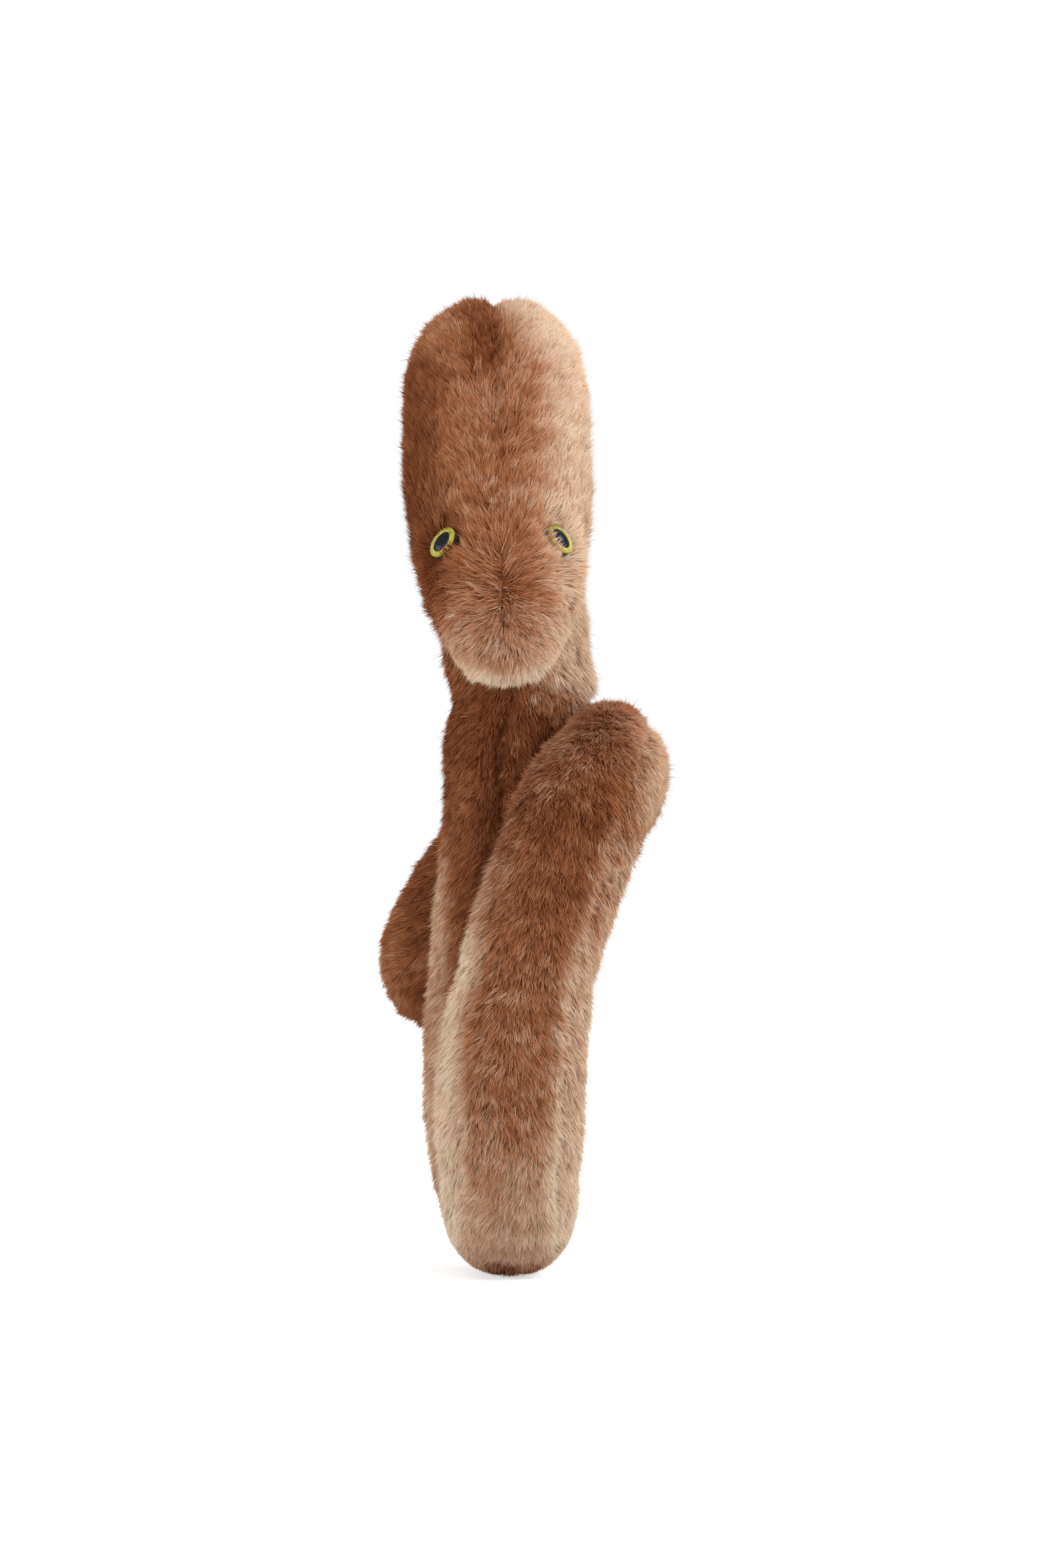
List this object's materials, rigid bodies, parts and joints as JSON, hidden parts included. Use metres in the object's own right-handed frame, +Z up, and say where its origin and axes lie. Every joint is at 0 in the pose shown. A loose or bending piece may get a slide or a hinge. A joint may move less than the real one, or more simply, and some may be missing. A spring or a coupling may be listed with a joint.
{
  "type": "plush toy",
  "caption": "Plush microbe toy: a stuffed tube of brown fur fabric with a drooping head, two small yellow eyes and a loop that it stands on.",
  "frame": {"origin": "centre of the flat face that the toy stands on", "axes": "+Z up, -Y towards the side that the face looks to, +X to the right seen from the front"},
  "size_m": [0.0615, 0.1559, 0.1998],
  "materials": {
    "fur_brown": "short-pile fur fabric, pale tips",
    "fur_dark": "short-pile fur fabric, pale tips",
    "filling": "loose polyester fibre",
    "eye_clear": "clear polished dome",
    "iris_yellow": "painted, under the clear dome",
    "pupil_black": "black, under the clear dome",
    "eye_back": "moulded shank and washer",
    "thread": "doubled sewing thread"
  },
  "bodies": {
    "stem": {"stem_panel_left": "fur_dark", "stem_panel_right": "fur_dark", "stem_filling": "filling", "base_panel_outer": "fur_brown", "base_panel_inner": "fur_brown", "base_filling": "filling", "arm_panel_outer": "fur_brown", "arm_panel_inner": "fur_brown", "arm_filling": "filling", "shoulder_panel_outer": "fur_dark", "shoulder_panel_inner": "fur_dark", "shoulder_filling": "filling", "crossing_tacks": "thread", "closing_stitches": "thread"},
    "head": {"head_panel_left": "fur_brown", "head_panel_right": "fur_brown", "head_filling": "filling", "crook_panel_left": "fur_brown", "crook_panel_right": "fur_brown", "crook_filling": "filling", "neck_panel_left": "fur_brown", "neck_panel_right": "fur_brown", "neck_filling": "filling", "eye_dome_left": "eye_clear", "eye_iris_left": "iris_yellow", "eye_pupil_left": "pupil_black", "eye_shank_left": "eye_back", "eye_washer_left": "eye_back", "eye_dome_right": "eye_clear", "eye_iris_right": "iris_yellow", "eye_pupil_right": "pupil_black", "eye_shank_right": "eye_back", "eye_washer_right": "eye_back"},
    "tail": {"tail_panel_outer": "fur_dark", "tail_panel_inner": "fur_dark", "tail_filling": "filling"}
  },
  "joints": [
    {"name": "head_nod", "type": "hinge", "parent": "stem", "child": "head", "pos_m": [0.0014, 0.02, 0.1195], "axis": [1, 0, 0], "range_deg": [-12, 15], "stiffness_Nm_per_rad": 0.15, "springref_deg": -2.41},
    {"name": "tail_lift", "type": "hinge", "parent": "stem", "child": "tail", "pos_m": [0.0145, 0.048, 0.0985], "axis": [0.7813, 0.6242, 0], "range_deg": [-8, 12], "stiffness_Nm_per_rad": 0.05, "springref_deg": 0.91}
  ]
}
